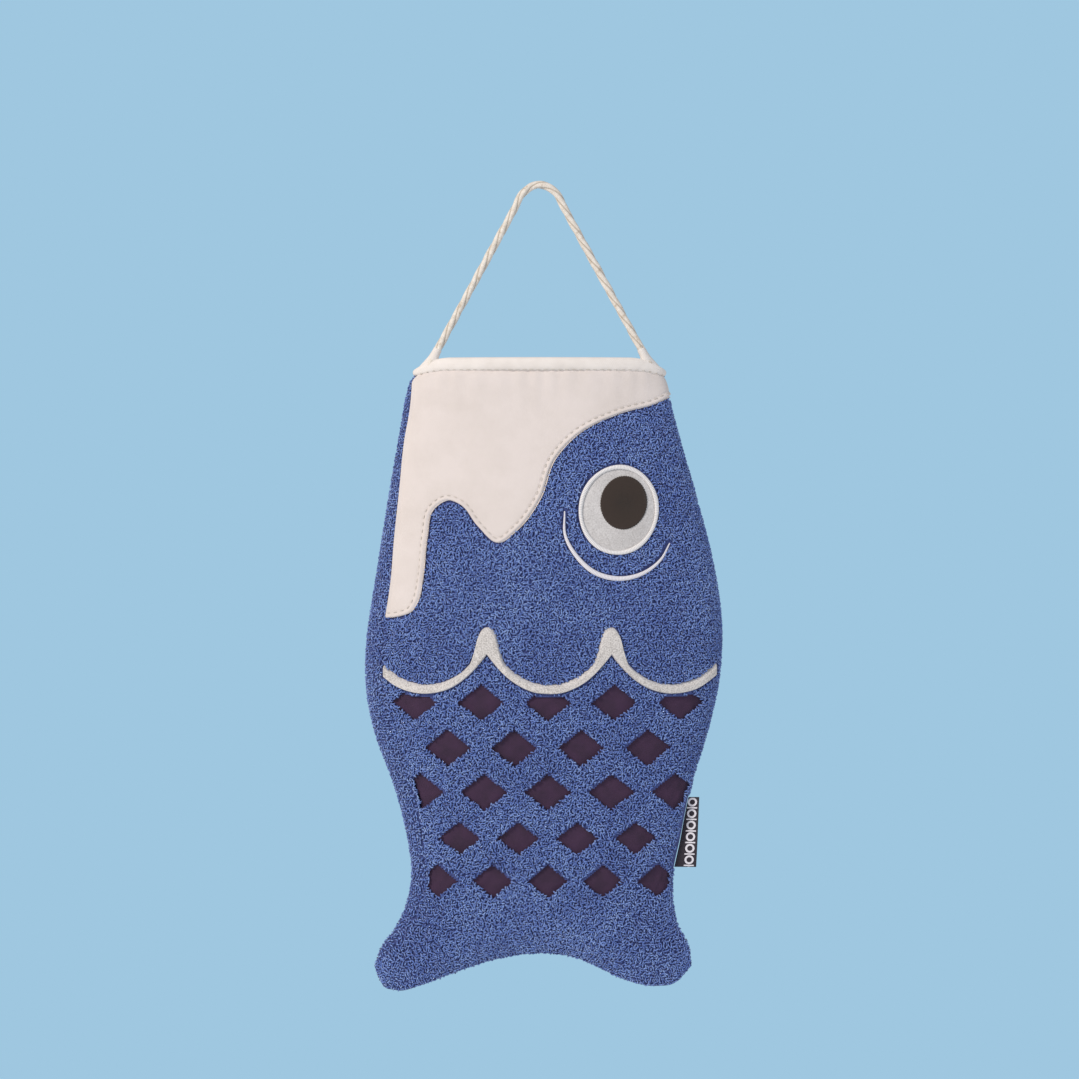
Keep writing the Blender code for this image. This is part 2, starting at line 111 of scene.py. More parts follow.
# Side label: depth of its root, and its outer edge and middle line at top and bottom
label_root = 1.65 * MM
label_edge = (70.3 * MM, 68.9 * MM)
label_middle = (67.4 * MM, 65.6 * MM)

eye_centre, eye_half = (34.5 * MM, -133.8 * MM), (17.6 * MM, 19.8 * MM)
pupil_centre, pupil_half = (36.7 * MM, -130.7 * MM), (10.4 * MM, 11.9 * MM)
eye_tilt = math.radians(8)

gill_pitch = 54.4 * MM
gill_centre = 4.2 * MM
gill_bottom = -214.3 * MM
gill_rise = 17.3 * MM
gill_width = 3.7 * MM

# Windows in the terry: for each row, count, pitch, half-width, half-height and height in mm
window_rows = (
    (5, 29.2, 9.5, 7.6, -217.9),
    (4, 29.2, 9.7, 7.8, -237.8),
    (5, 27.9, 9.9, 7.6, -257.2),
    (4, 25.8, 8.8, 6.9, -277.6),
    (5, 24.2, 8.5, 7.0, -296.4),
)
window_centre = 3.6 * MM
window_margin = 3.2 * MM


# ---------------------------------------------------------------- shape of the fish


def mix(a, b, share):
    return a + (b - a) * share


def smooth(points, at):
    """Cubic curve through (place, value) points, each slope taken from its neighbours."""
    place, value = np.array(points, float).T
    slope = np.gradient(value, place)
    k = np.clip(np.searchsorted(place, at) - 1, 0, len(place) - 2)
    step = place[k + 1] - place[k]
    u = np.clip((at - place[k]) / step, 0, 1)
    rise = value[k] * (1 + 2 * u) * (1 - u) ** 2 + value[k + 1] * u**2 * (3 - 2 * u)
    return rise + step * (slope[k] * u * (1 - u) ** 2 + slope[k + 1] * u**2 * (u - 1))


def distances(path):
    """Distance along a path from its start to each of its points."""
    return np.concatenate([[0], np.cumsum(np.linalg.norm(np.diff(path, axis=0), axis=1))])


def smooth_path(route, spacing):
    """Points at even spacing along a smooth curve through a route's points."""
    route = np.array(route, float)
    along = distances(route)
    at = np.linspace(0, along[-1], max(2, round(along[-1] / spacing)) + 1)
    columns = [smooth(np.stack([along, column], axis=1), at) for column in route.T]
    return np.stack(columns, axis=1)


def half_width(v):
    """Half-width at share v of the fish's length: mouth, belly, narrow neck, tail fins."""
    m, b, n, t = mouth_half, belly_half, neck_half, tail_half
    curve = [(0, m), (0.012, mix(m, b, 0.065)), (0.03, mix(m, b, 0.115)), (0.086, mix(m, b, 0.245))]
    curve += [(0.207, mix(m, b, 0.55)), (0.325, mix(m, b, 0.82)), (0.446, b)]
    curve += [(0.526, mix(b, n, 0.03)), (0.606, mix(b, n, 0.25)), (0.685, mix(b, n, 0.59))]
    curve += [(0.769, mix(b, n, 0.85)), (0.864, n)]
    return smooth(curve + [(0.928, mix(n, t, 0.33)), (0.966, mix(n, t, 0.81)), (1, t)], v)


def half_depth(v):
    """Half-depth at share v of the length, front to back."""
    m, b, n = mouth_half_depth, belly_half_depth, neck_half_depth
    curve = [(0, m), (0.2, mix(m, b, 0.6)), (0.45, b), (0.7, mix(b, n, 0.6)), (0.864, n)]
    return smooth(curve + [(1, tail_half_depth)], v)


def centre_line(v):
    """How far to the right the middle of the fish lies at share v of the length."""
    curve = [(0, 0), (0.012, -0.7), (0.03, -0.85), (0.09, -0.4), (0.2, 1.2), (0.33, 2.8)]
    return smooth(curve + [(0.6, 0.7), (0.8, 2.0), (1, -2.8)], v) * MM


def tail_edge(across):
    """Height of the tail's edge: two rounded fins with an arch between them."""
    left = [(-1, 1), (-0.96, -5.8), (-0.87, -9.2), (-0.7, -6.9), (-0.54, -2.7)]
    arch = [(-0.27, 3.7), (0.03, 7), (0.27, 5), (0.41, 0.9)]
    right = [(0.54, -3.6), (0.78, -7.4), (0.9, -5.8), (1, 1.5)]
    return smooth(left + arch + right, across) * MM


def seam_angle(v):
    """Angle at which the left seam lies: it has rolled towards the face."""
    curve = [(0, 0.1), (0.05, 0.38), (0.12, 0.44), (0.2, 0.6), (0.35, 0.93), (0.47, 1)]
    roll = smooth(curve + [(0.8, 0.85), (0.93, 0.4), (1, 0)], v)
    return np.arccos(1 - roll * seam_roll / half_width(v))


def slack(angle, v):
    """How far the slack cloth stands out: a few long soft waves that die out at both ends."""
    wave = np.sin(3.1 * angle + 7 * v + 0.6) * np.sin(9 * v + 1.1)
    wave = wave + 0.6 * np.sin(7.3 * angle - 11 * v)
    return 0.45 * MM * wave * np.clip(v / 0.15, 0, 1) * np.clip((1 - v) / 0.06, 0, 1)


def corner(share):
    """How far towards a corner of the mouth a place lies, rising from nothing past the cord."""
    return np.clip((np.abs(share) - 0.72) / 0.28, 0, 1) ** 2


def skin(angle, v, depth):
    """Point of the fish's skin, depth inwards from its outside: an elliptical section at each
    share v of the length, closing to the tail's arched edge. Angle 0 is the left side, pi/2 the
    middle of the face, pi the right side and -pi/2 the middle of the back."""
    closing = np.sqrt(1 - np.clip((v - closing_from) / (1 - closing_from), 0, 1) ** 2)
    share = -np.cos(angle)
    inward = depth - slack(angle, v) * np.abs(np.sin(angle))
    x = centre_line(v) + (half_width(v) - depth) * share
    y = seam_plane - (half_depth(v) - inward) * closing * np.sin(angle)
    arch = tail_edge(share) * np.clip((v - 0.7) / 0.3, 0, 1) ** 2
    shoulder = shoulder_drop * corner(share) * np.clip(1 - v / 0.09, 0, 1) ** 2
    z = panel_top - v * (body_length - depth) + arch - shoulder
    return np.stack([x, y, z], axis=-1)


def place_of(x, z, depth=0.0):
    """Angle and share of the length of a point of the face seen at x, z."""
    v = np.clip((panel_top - z) / (body_length - depth), 0, 1)
    share = np.clip((x - centre_line(v)) / (half_width(v) - depth), -1, 1)
    return np.arccos(-share), v


def on_face(x, z, depth):
    angle, v = place_of(x, z, depth)
    return skin(angle, v, depth)


def outward(angle, v, depth):
    """Unit normal of the skin, by small steps either way."""
    step = 1e-3
    v = np.clip(v, 0.002, 0.985)
    round_it = skin(angle + step, v, depth) - skin(angle - step, v, depth)
    down_it = skin(angle, v + step, depth) - skin(angle, v - step, depth)
    normal = np.cross(round_it, down_it)
    normal /= np.linalg.norm(normal, axis=-1, keepdims=True)
    out = np.stack([-np.cos(angle + 0 * v), -np.sin(angle + 0 * v)], axis=-1)
    flip = np.sign((normal[..., :2] * out).sum(-1, keepdims=True))
    return normal * np.where(flip == 0, 1, flip)


def drip_edge():
    """The head panel's lower edge: a cheek lobe at the left, a drip, then up under the mouth."""
    lobe = [(-80, -180.4), (-60.5, -180.2), (-56.4, -178.6), (-53.6, -174.6), (-50.8, -163)]
    lobe += [(-49, -145), (-46.6, -133.8), (-40, -129.8), (-34.8, -131.8)]
    drip = [(-27.3, -141.2), (-18.5, -148.5), (-10, -142.8), (0, -129.4), (6.6, -111.8)]
    rise = [(15.8, -101.6), (34.8, -92), (51.5, -87.1), (58, -83.6), (66, -80)]
    return smooth_path(np.array(lobe + drip + rise) * MM, 1 * MM)


def gill_edges(x):
    """Heights of the gill band's lower and upper edges: three scallops with blunt peaks between."""
    place = (x - gill_centre) / gill_pitch
    share = 2 * np.abs(place - np.round(place))
    rise = [(0, 0), (0.25, 1), (0.5, 4.2), (0.65, 7.4), (0.743, 10.7), (0.8, 15.4)]
    rise = smooth(rise + [(0.865, 22), (0.93, 24.6), (1, 25.2)], share) * MM
    return gill_bottom + gill_rise * share**2.2, gill_bottom + gill_width + rise


def gill_ends():
    """Left and right ends of the gill band, just inside the side seams."""
    left = skin(seam_angle(np.array(0.5)), np.array(0.5), 0.0)[0]
    return left + 0.8 * MM, float(centre_line(0.49) + half_width(0.49)) - 2.6 * MM


def smile_path():
    """The stitched smile: an arc below the eye, from its left to its lower right."""
    route = [(10.9, -134.4), (11.2, -145), (15.8, -153.6), (24.3, -161.2), (34.8, -163.7)]
    route += [(45, -161.4), (53, -155.2), (56.8, -148.3)]
    return smooth_path(np.array(route) * MM, 0.8 * MM)


def in_window(x, z, grow=0.0):
    """True inside one of the diamond windows, each grown by a distance, clear of seams and band."""
    inside = np.zeros(np.shape(x), bool)
    for count, pitch, half, tall, height in window_rows:
        near = np.round((x - window_centre) / (pitch * MM) + (count - 1) / 2)
        near = np.clip(near, 0, count - 1)
        middle = window_centre + (near - (count - 1) / 2) * pitch * MM
        away = np.abs(x - middle) / (half * MM) + np.abs(z - height * MM) / (tall * MM)
        inside |= away < 1 + grow / (0.5 * (half + tall) * 0.7 * MM)
    v = np.clip((panel_top - z) / body_length, 0, 1)
    left = skin(seam_angle(v), v, 0.0)[..., 0] + window_margin - grow
    right = centre_line(v) + half_width(v) - window_margin + grow
    below = z < gill_edges(x)[0] - window_margin / 2 + grow
    return inside & (x > left) & (x < right) & below


def on_eye(centre, x, z, depth):
    """Point of the face from its place in the tilted eye's own axes."""
    c, s = math.cos(eye_tilt), math.sin(eye_tilt)
    return on_face(centre[0] + c * x + s * z, centre[1] - s * x + c * z, depth)


def in_eye(x, z, grow):
    """True inside the eye's ellipse, grown by a distance."""
    c, s = math.cos(eye_tilt), math.sin(eye_tilt)
    dx, dz = x - eye_centre[0], z - eye_centre[1]
    wide, tall = eye_half[0] + grow, eye_half[1] + grow
    return np.hypot((c * dx - s * dz) / wide, (s * dx + c * dz) / tall) < 1


def near_path(x, z, path):
    """Distance in the face's plane to the nearest point of a path."""
    d = np.hypot(x[..., None] - path[:, 0], z[..., None] - path[:, 1])
    return d.min(axis=-1)


def above_drip(x, z, edge):
    return z > np.interp(x, edge[:, 0], edge[:, 1])


# ---------------------------------------------------------------- meshes


def new_piece(name, points, faces, material, body="streamer", uv=None, values=None):
    """Mesh object from an array of points and an array of faces with equal numbers of corners."""
    mesh = bpy.data.meshes.new(name)
    points = np.ascontiguousarray(points.reshape(-1, 3), np.float32)
    count, corners = faces.shape
    mesh.vertices.add(len(points))
    mesh.vertices.foreach_set("co", points.ravel())
    mesh.loops.add(count * corners)
    mesh.loops.foreach_set("vertex_index", faces.astype(np.int32).ravel())
    mesh.polygons.add(count)
    mesh.polygons.foreach_set("loop_start", np.arange(0, count * corners, corners, dtype=np.int32))
    mesh.polygons.foreach_set("use_smooth", np.ones(count, bool))
    if uv is not None:
        layer = mesh.uv_layers.new(name="Cloth")
        layer.data.foreach_set("uv", uv.reshape(-1, 2)[faces.ravel()].astype(np.float32).ravel())
    for label, value in (values or {}).items():
        made = mesh.attributes.new(label, "FLOAT", "POINT")
        made.data.foreach_set("value", value.astype(np.float32).ravel())
    mesh.update()
    mesh.validate()
    mesh.materials.append(material)
    piece = bpy.data.objects.new(name, mesh)
    bpy.context.scene.collection.objects.link(piece)
    if body:
        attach(piece, body)
    return piece


def grid_faces(rows, columns, round_columns=False, round_rows=False):
    """Quads of a grid of points, which may close on itself either way."""
    i = np.arange(rows if round_rows else rows - 1)[:, None]
    j = np.arange(columns if round_columns else columns - 1)[None, :]
    i2, j2 = (i + 1) % rows, (j + 1) % columns
    corners = [i * columns + j, i2 * columns + j, i2 * columns + j2, i * columns + j2]
    return np.stack(corners, axis=-1).reshape(-1, 4)


def facing(points, faces, away_from):
    """The faces, turned round if they look towards a point, or each towards its own, not away."""
    flat = points.reshape(-1, 3)
    a, b, c = (flat[faces[:, k]] for k in (0, 1, 2))
    middle = (a + c) / 2
    out = (np.cross(b - a, c - a) * (middle - away_from)).sum()
    return faces if out > 0 else faces[:, ::-1]


def cloth_faces(points, round_columns=False):
    """Quads of a grid of points of the skin, looking away from the fish's middle plane."""
    flat = points.reshape(-1, 3)
    middle = np.array([flat[:, 0].mean(), seam_plane, flat[:, 2].mean()])
    return facing(points, grid_faces(*points.shape[:2], round_columns), middle)


def tube_faces(points, middles=None, round_rows=False):
    """Quads of rings of points, looking away from each ring's middle."""
    rows, sides = points.shape[:2]
    faces = grid_faces(rows, sides, round_columns=True, round_rows=round_rows)
    middles = points.mean(axis=1) if middles is None else middles
    return facing(points, faces, np.repeat(middles, sides, axis=0)[faces[:, 0]])


def turns(count):
    """Angles at even steps round one full turn."""
    return np.linspace(0, 2 * math.pi, count, endpoint=False)


def tubes(paths, radius, sides, side_way):
    """Closed thin tubes along many paths of equal length, as points and quads.

    A ring of a few sides stands round each path point, square to the path, and a small cap
    closes each end. side_way is a direction roughly square to each path.
    """
    n, steps = paths.shape[:2]
    along = np.gradient(paths, axis=1)
    along /= np.linalg.norm(along, axis=-1, keepdims=True)
    other = np.cross(along, side_way[:, None, :])
    other /= np.linalg.norm(other, axis=-1, keepdims=True)
    way = np.cross(other, along)
    turn = np.arange(sides) * 2 * math.pi / sides
    ring = way[:, :, None, :] * np.cos(turn)[:, None]
    ring = ring + other[:, :, None, :] * np.sin(turn)[:, None]
    points = paths[:, :, None, :] + ring * np.broadcast_to(radius, (n, steps))[:, :, None, None]
    one = triangles(grid_faces(steps, sides, round_columns=True)[:, ::-1])
    fan = np.array([(0, k, k + 1) for k in range(1, sides - 1)])
    one = np.concatenate([one, fan, fan[:, ::-1] + (steps - 1) * sides])
    faces = (one[None] + (np.arange(n) * steps * sides)[:, None, None]).reshape(-1, 3)
    return points, faces


def triangles(quads):
    return np.concatenate([quads[:, [0, 1, 2]], quads[:, [0, 2, 3]]])


def loop_paths(base, normal, across, rng, height, width, steps):
    """Terry loops: each an arch of yarn, half an ellipse tall, that leans and curls its own way."""
    n = len(base)
    t = np.linspace(0, math.pi, steps)[None, :, None]
    side = np.cross(normal, across)
    lean = (rng.normal(0, 0.2, (n, 1)) * across + rng.normal(0, 0.2, (n, 1)) * side)[:, None, :]
    curl = rng.normal(0, 0.22, (n, 1))[:, None, :] * side[:, None, :] * width
    tall = (height * rng.uniform(0.75, 1.15, (n, 1)))[:, None, :]
    wide = (width * rng.uniform(0.75, 1.3, (n, 1)))[:, None, :]
    foot = wide / 2 * np.cos(t) * across[:, None, :]
    bulge = 0.28 * wide * np.sin(2 * t) * np.sin(t) * across[:, None, :]
    rise = np.sin(t) * tall * (normal[:, None, :] + lean)
    return base[:, None, :] + foot + bulge + rise + curl * np.sin(2 * t)


def loop_places(angle_from, angle_to, v_from, v_to, pitch, rng):
    """Angle and share of each loop's foot: rows a pitch apart, loops evenly along each row."""
    rows = np.arange(v_from, v_to, pitch / body_length)
    angles, shares = [], []
    table = np.linspace(0, 1, 160)
    for k, v in enumerate(rows):
        turn = mix(angle_from(v), angle_to(v), table)
        edge = skin(turn, np.full_like(turn, v), ground_depth)
        run = distances(edge)
        at = np.arange(0.5 * (k % 2) + 0.3, run[-1] / pitch - 0.2) * pitch
        angles.append(np.interp(at, run, turn))
        shares.append(np.full(len(at), v))
    angle, v = np.concatenate(angles), np.concatenate(shares)
    angle = angle + rng.normal(0, 0.17 * pitch, len(v)) / half_width(v)
    return angle, np.clip(v + rng.normal(0, 0.17 * pitch, len(v)) / body_length, 0, 1)


def new_pile(name, angle, v, rng, material):
    """One piece of terry pile from the places of its loops, shorter where the terry is worn."""
    steps, sides = 5, 3
    base = skin(angle, v, ground_depth + 0.1 * MM)
    normal = outward(angle, v, ground_depth)
    turn = rng.uniform(0, 2 * math.pi, (len(v), 1))
    first = np.cross(normal, np.array([0, 0, 1.0]))
    first /= np.linalg.norm(first, axis=1, keepdims=True)
    across = np.cos(turn) * first + np.sin(turn) * np.cross(normal, first)
    worn = 1 - 0.35 * np.clip((np.abs(np.cos(angle)) - 0.93) / 0.05, 0, 1)
    worn *= 1 - 0.35 * np.clip((v - 0.95) / 0.04, 0, 1)
    paths = loop_paths(base, normal, across, rng, loop_height * worn[:, None], loop_width, steps)
    side = np.cross(normal, across)
    points, faces = tubes(paths, yarn_radius, sides, side)
    shape = (len(v), steps, sides)
    shade = np.broadcast_to(rng.uniform(0, 1, (len(v), 1, 1)), shape)
    # tip: each loop's share of its height, which the yarn material uses to paint shade at the
    # loop's roots.
    tip = np.broadcast_to(np.sin(np.linspace(0, math.pi, steps))[None, :, None], shape)
    return new_piece(name, points, faces, material, values={"shade": shade, "tip": tip})


# ---------------------------------------------------------------- materials


def linear(code):
    """Linear colour from an sRGB hex code."""
    channels = [int(code[k : k + 2], 16) / 255 for k in (1, 3, 5)]
    return (*[c / 12.92 if c <= 0.04045 else ((c + 0.055) / 1.055) ** 2.4 for c in channels], 1)


def add(tree, kind, inputs=(), **settings):
    """Adds a node with its settings, each input set to a value or linked from a socket."""
    made = tree.nodes.new("ShaderNode" + kind)
    for key, value in settings.items():
        setattr(made, key, value)
    for socket, value in dict(inputs).items():
        if isinstance(value, bpy.types.NodeSocket):
            tree.links.new(value, made.inputs[socket])
        else:
            made.inputs[socket].default_value = value
    return made


def calc(tree, operation, *values):
    """Result of a math node."""
    return add(tree, "Math", dict(enumerate(values)), operation=operation).outputs[0]


def noise(tree, where, scale, detail, **more):
    """Value of a noise texture of a scale in waves per metre."""
    inputs = {"Vector": where, "Scale": scale, "Detail": detail, **more}
    return add(tree, "TexNoise", inputs).outputs["Fac"]


def ramp(tree, factor, *stops):
    """Colour ramp node: stops of (place, hex colour)."""
    made = add(tree, "ValToRGB", {"Fac": factor})
    made.color_ramp.elements.remove(made.color_ramp.elements[1])
    for k, (place, code) in enumerate(stops):
        stop = made.color_ramp.elements[0] if k == 0 else made.color_ramp.elements.new(place)
        stop.position = place
        stop.color = linear(code)
    return made.outputs["Color"]


def start(name, roughness, **sockets):
    """New material with its Principled node; sockets are set by name."""
    made = bpy.data.materials.new(name)
    made.use_nodes = True
    tree = made.node_tree
    shader = tree.nodes["Principled BSDF"]
    shader.inputs["Roughness"].default_value = roughness
    for key, value in sockets.items():
        shader.inputs[key.replace("_", " ")].default_value = value
    return made, tree, shader


def bump(tree, shader, height, distance, strength=1.0, under=None):
    inputs = {"Height": height, "Distance": distance, "Strength": strength}
    if under is not None:
        inputs["Normal"] = under
    made = add(tree, "Bump", inputs)
    tree.links.new(made.outputs["Normal"], shader.inputs["Normal"])
    return made.outputs["Normal"]


def terry_yarn():
    """Soft-spun cotton yarn, dyed mid blue: matt and uneven, with painted shade darkening each loop
    towards its roots.
    """
    made, tree, shader = start("terry_loop_yarn", 0.92, Sheen_Weight=0.35, Sheen_Roughness=0.5)
    shade = add(tree, "Attribute", attribute_name="shade").outputs["Fac"]
    tip = add(tree, "Attribute", attribute_name="tip").outputs["Fac"]
    where = add(tree, "TexCoord").outputs["Object"]
    half = calc(tree, "MULTIPLY", calc(tree, "ADD", shade, noise(tree, where, 48, 2)), 0.5)
    dark, pale = (0.15, "#4560A8"), (0.92, "#A5C0EE")
    body = ramp(tree, half, dark, (0.45, "#6482C8"), (0.7, "#7F9EDD"), pale)
    # Painted shade: the colour darkens to a deep blue towards each loop's roots, where the tip
    # share falls to nothing.
    root = add(tree, "Mix", {0: tip, 6: linear("#38407A"), 7: body}, data_type="RGBA")
    tree.links.new(root.outputs[2], shader.inputs["Base Color"])
    bump(tree, shader, noise(tree, where, 5200, 1), 0.0001, 0.4)
    return made


def woven(name, base, dark, spacing, depth=0.00012, sheen=0.2):
    """Plain-woven cotton: two sets of threads over and under each other, softly mottled.

    The thread spacing is in millimetres; cloth coordinates are in metres.
    """
    made, tree, shader = start(name, 0.85, Sheen_Weight=sheen, Sheen_Roughness=0.45)
    coords = add(tree, "TexCoord").outputs
    split = add(tree, "SeparateXYZ", {0: coords["UV"]})
    rate = 2 * math.pi / (spacing * MM)
    waves = [calc(tree, "SINE", calc(tree, "MULTIPLY", split.outputs[k], rate)) for k in (0, 1)]
    lift = calc(tree, "MULTIPLY_ADD", calc(tree, "MULTIPLY", *waves), 0.5, 0.5)
    mottle = noise(tree, coords["Object"], 160, 4)
    # The dark colour is partly the cloth's own random mottle and partly painted shade where the
    # threads dip under each other.
    blend = calc(tree, "MULTIPLY_ADD", lift, 0.35, mottle)
    tree.links.new(ramp(tree, blend, (0.35, dark), (0.8, base)), shader.inputs["Base Color"])
    fine = noise(tree, coords["Object"], 2500, 2)
    bump(tree, shader, calc(tree, "MULTIPLY_ADD", lift, 0.7, fine), depth, 0.6)
    return made


def brushed_cotton(name, base, shadow, grain=0.1):
    """Brushed cotton jersey: smooth, matt and faintly mottled, with a very fine nap.

    A larger grain speckles it, as a felt of mixed fibres is.
    """
    made, tree, shader = start(name, 0.88, Sheen_Weight=0.3, Sheen_Roughness=0.6)
    place = add(tree, "TexCoord").outputs["Object"]
    mottle = noise(tree, place, 70, 5, Roughness=0.6)
    nap = noise(tree, place, 1800, 3)
    both = add(tree, "Mix", {0: grain, 2: mottle, 3: nap}, data_type="FLOAT").outputs[0]
    tree.links.new(ramp(tree, both, (0.32, shadow), (0.6, base)), shader.inputs["Base Color"])
    under = bump(tree, shader, nap, 0.00012, 0.5)
    bump(tree, shader, noise(tree, place, 220, 2), 0.0003, 0.35, under)
    return made


def satin_thread(name, base, shadow, per_unit, gloss=0.42):
    """Embroidery thread laid side by side: narrow glossy ridges across the stitch line.

    per_unit is the number of threads per unit of the first cloth coordinate.
    """
    made, tree, shader = start(name, gloss, Sheen_Weight=0.15, Coat_Weight=0.08)
    split = add(tree, "SeparateXYZ", {0: add(tree, "TexCoord").outputs["UV"]})
    turned = calc(tree, "MULTIPLY", split.outputs[0], per_unit * 2 * math.pi)
    lift = calc(tree, "MULTIPLY_ADD", calc(tree, "SINE", turned), 0.5, 0.5)
    tree.links.new(ramp(tree, lift, (0.0, shadow), (0.55, base)), shader.inputs["Base Color"])
    bump(tree, shader, lift, 0.00015, 0.7)
    return made


def rope_cotton():
    """Undyed three-strand cotton cord: off-white, matt and hairy, flecked with beige seed husk."""
    made, tree, shader = start("twisted_cotton_cord", 0.9, Sheen_Weight=0.3, Sheen_Roughness=0.5)
    where = add(tree, "TexCoord").outputs["UV"]
    groove_shade = add(tree, "Attribute", attribute_name="groove_shade").outputs["Fac"]
    fleck = noise(tree, where, 480, 3)
    husk, pale = (0.3, "#BFB09C"), (0.72, "#EFE9E0")
    body = ramp(tree, fleck, husk, (0.4, "#DDD3C6"), (0.56, "#E6DED3"), pale)
    # Painted shade: a darker beige where the three strands meet in the cord's grooves.
    shaded = add(tree, "Mix", {0: groove_shade, 6: body, 7: linear("#AC9E8C")}, data_type="RGBA")
    tree.links.new(shaded.outputs[2], shader.inputs["Base Color"])
    long_way = add(tree, "Mapping", {"Vector": where, "Scale": (1, 3, 1)}).outputs[0]
    bump(tree, shader, noise(tree, long_way, 2600, 2), 0.0002, 0.6)
    return made


def label_weave():
    """Damask label: a dark satin ground with pale woven rings and bars, in fine ribs."""
    pitch, middle, ring_radius, ring_half = 5.2 * MM, 2.3 * MM, 1.6 * MM, 0.42 * MM
    bar_half, bar_from, rib_pitch = 2.2 * MM, 2.28 * MM, 0.4 * MM
    made, tree, shader = start("damask_label", 0.6, Sheen_Weight=0.15)
    split = add(tree, "SeparateXYZ", {0: add(tree, "TexCoord").outputs["UV"]})
    over, along = split.outputs[0], split.outputs[1]
    share = calc(tree, "FRACT", calc(tree, "MULTIPLY", along, 1 / pitch))
    down = calc(tree, "MULTIPLY_ADD", share, pitch, -middle)
    spot = add(tree, "CombineXYZ", {0: over, 1: down}).outputs[0]
    away = add(tree, "VectorMath", {0: spot}, operation="LENGTH").outputs["Value"]
    off = calc(tree, "ABSOLUTE", calc(tree, "ADD", away, -ring_radius))
    ring = calc(tree, "LESS_THAN", off, ring_half)
    wide = calc(tree, "LESS_THAN", calc(tree, "ABSOLUTE", over), bar_half)
    bar = calc(tree, "MULTIPLY", wide, calc(tree, "GREATER_THAN", down, bar_from))
    mark = calc(tree, "MAXIMUM", ring, bar)
    ink = add(tree, "Mix", {0: mark, 6: linear("#211826"), 7: linear("#E6E2E8")}, data_type="RGBA")
    tree.links.new(ink.outputs[2], shader.inputs["Base Color"])
    rib = calc(tree, "SINE", calc(tree, "MULTIPLY", along, 2 * math.pi / rib_pitch))
    bump(tree, shader, rib, 0.00008, 0.5)
    return made


def spring_steel():
    """Drawn spring-steel wire: grey, lightly scratched along its length."""
    made, tree, shader = start("drawn_steel_wire", 0.35, Metallic=1.0)
    place = add(tree, "TexCoord").outputs["Object"]
    stretched = add(tree, "Mapping", {"Vector": place, "Scale": (0.1, 1, 1)}).outputs[0]
    colour = ramp(tree, noise(tree, stretched, 3000, 2), (0.3, "#85878A"), (0.7, "#A9ABAD"))
    tree.links.new(colour, shader.inputs["Base Color"])
    return made


# ---------------------------------------------------------------- pieces


def face_right(_):
    """Angle of the right seam, reached round the face; that of the left is seam_angle."""
    return math.pi


def back_right(_):
    """Angle of the right seam, reached round the back."""
    return -math.pi


def make_ground(name, first, last, rows, columns, material, holes):
    """Ground cloth of one panel: the skin at the ground's depth, with the windows cut out."""
    share = np.linspace(0, 1, columns)[None, :]
    v = np.linspace(under_hem, 1, rows)[:, None] + 0 * share
    points = skin(mix(first(v), last(v), share), v, ground_depth)
    faces = cloth_faces(points)
    if holes:
        middle = points.reshape(-1, 3)[faces].mean(axis=1)
        faces = faces[~in_window(middle[:, 0], middle[:, 2], 0.45 * MM)]
    steps = np.linalg.norm(np.diff(points, axis=1), axis=-1)
    run = np.cumsum(np.pad(steps, ((0, 0), (1, 0))), axis=1)
    uv = np.stack([run, -v * body_length], axis=-1)
    return new_piece(name, points, faces, material, uv=uv)


def keep_face_loops(angle, v, edge, smile):
    """Which loops of the face stay: none under the head panel, eye, smile, band or windows."""
    tip = skin(angle, v, loop_tip)
    x, z = tip[:, 0], tip[:, 2]
    lower, upper = gill_edges(x)
    left, right = gill_ends()
    free = ~(above_drip(x, z, edge) | (near_path(x, z, edge) < bare_by_head))
    free &= ~in_eye(x, z, bare_by_eye) & (near_path(x, z, smile) > bare_by_smile)
    past = (x < left - bare_past_band) | (x > right + bare_past_band)
    free &= (z < lower - bare_by_band) | (z > upper + bare_by_band) | past
    return free & clear_of_label(tip) & ~in_window(x, z, bare_by_window)


def clear_of_label(tip):
    """True for loops away from the root of the side label, which has to turn there."""
    low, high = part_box("side_label")
    level = (tip[:, 2] > low[2] - 0.5 * MM) & (tip[:, 2] < high[2] + 0.5 * MM)
    return ~(level & (tip[:, 0] > 0) & (np.abs(tip[:, 1] - seam_plane) < bare_by_label))


def make_terry(yarn, ground, edge, smile):
    """Both panels: ground cloths and the loops that stand on them, in bands down the fish."""
    rng = np.random.default_rng(7)
    front = make_ground("terry_ground_front", seam_angle, face_right, 330, 210, ground, True)
    back = make_ground("terry_ground_back", back_right, seam_angle, 120, 110, ground, False)
    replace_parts(front, "front_panel")
    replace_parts(back, "back_panel")
    for k in range(front_bands):
        band = pile_band(0.01, k, front_bands)
        angle, v = loop_places(seam_angle, face_right, *band, loop_pitch, rng)
        keep = keep_face_loops(angle, v, edge, smile)
        new_pile(f"terry_pile_front_{k}", angle[keep], v[keep], rng, yarn)
    for k in range(back_bands):
        band = pile_band(0.002, k, back_bands)
        angle, v = loop_places(back_right, seam_angle, *band, loop_pitch * back_spread, rng)
        keep = clear_of_label(skin(angle, v, loop_tip))
        new_pile(f"terry_pile_back_{k}", angle[keep], v[keep], rng, yarn)


def pile_band(top, k, count):
    """From and to, as shares of the length, of one of several equal bands of pile."""
    return mix(top, 1.001, k / count), mix(top, 1.001, (k + 1) / count)


